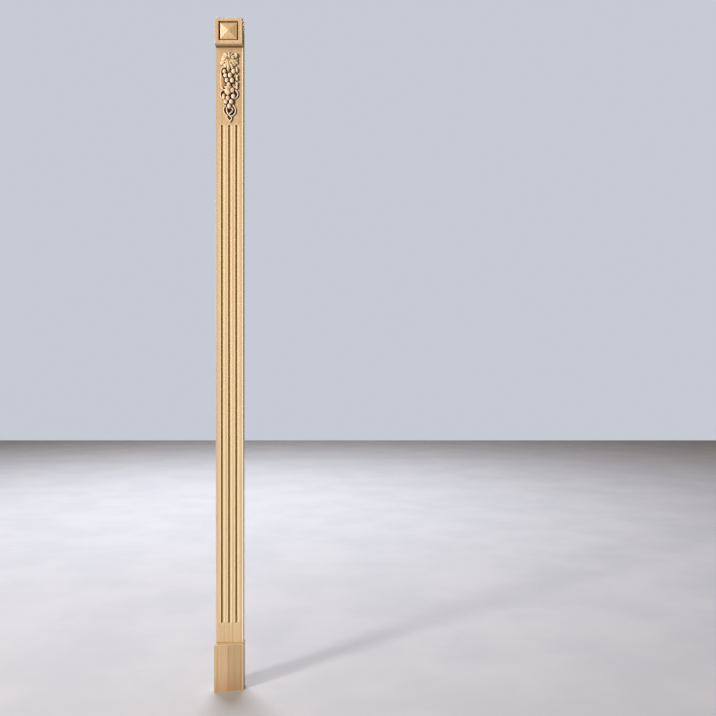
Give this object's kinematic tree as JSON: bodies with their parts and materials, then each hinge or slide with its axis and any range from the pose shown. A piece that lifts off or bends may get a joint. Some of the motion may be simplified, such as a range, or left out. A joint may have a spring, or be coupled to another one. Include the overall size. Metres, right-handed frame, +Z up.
{
  "type": "carved pilaster",
  "caption": "Tall flat fluted pilaster in honey timber with a plinth block, a grape-and-vine carving and a capital with a pyramid boss.",
  "frame": {"origin": "centre of the shaft's flat back face, half way up the shaft", "axes": "+Z up, the carved front towards -Y, +Y out of the back, +X towards the inner side, where the plinth's front slants back"},
  "size_m": [0.104, 0.0623, 2.4276],
  "materials": {
    "board_timber": "satin clear lacquer on straight-grained honey timber",
    "carved_timber": "satin clear lacquer on fine-grained pale timber"
  },
  "bodies": {
    "root": {"plinth_block": "board_timber", "fluted_shaft": "board_timber", "capital_block": "board_timber", "pyramid_boss": "board_timber", "grape_carving": "carved_timber"}
  },
  "joints": []
}
